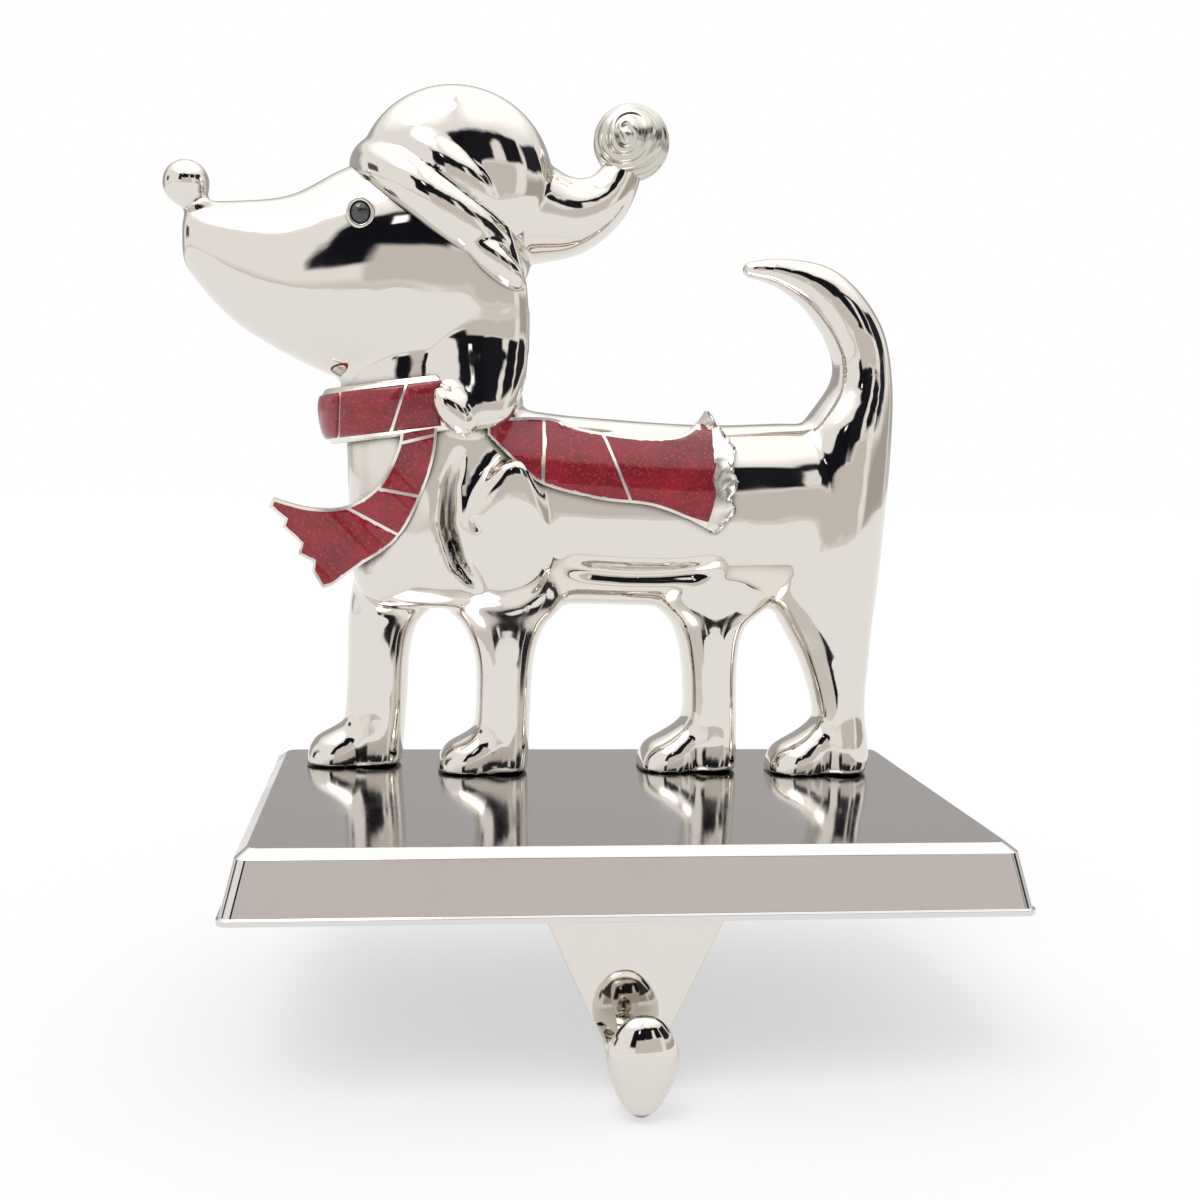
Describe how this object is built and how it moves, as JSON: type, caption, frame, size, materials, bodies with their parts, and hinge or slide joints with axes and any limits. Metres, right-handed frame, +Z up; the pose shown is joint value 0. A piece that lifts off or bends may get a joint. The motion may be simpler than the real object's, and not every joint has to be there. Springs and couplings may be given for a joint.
{
  "type": "mantel stocking holder",
  "caption": "Weighted mantel stocking holder: a polished cast dog in a winter hat and enamelled scarf on a rectangular base, with a tapered plate and hook over the mantel's front edge.",
  "frame": {"origin": "middle of the pad's underside, on the mantel's surface", "axes": "+X to the viewer's right, the dog looks towards -X; +Y away from the room, so the hook is towards -Y; +Z up"},
  "size_m": [0.1423, 0.0895, 0.1617],
  "materials": {
    "polished_nickel": "mirror polished, slightly warm",
    "base_nickel": "mirror polished",
    "red_enamel": "translucent red enamel with glitter",
    "eye_gloss": "gloss",
    "felt": "felt",
    "iron": "raw",
    "screw_steel": "zinc plated"
  },
  "bodies": {
    "root": {"dog_figurine": "polished_nickel", "near_eye": "eye_gloss", "far_eye": "eye_gloss", "loop_enamel": "red_enamel", "front_end_enamel": "red_enamel", "back_end_enamel": "red_enamel", "base_shell": "base_nickel", "ballast_weight": "iron", "base_pad": "felt", "hook_bracket": "polished_nickel", "dog_screws": "screw_steel", "bracket_screws": "screw_steel"}
  },
  "joints": []
}
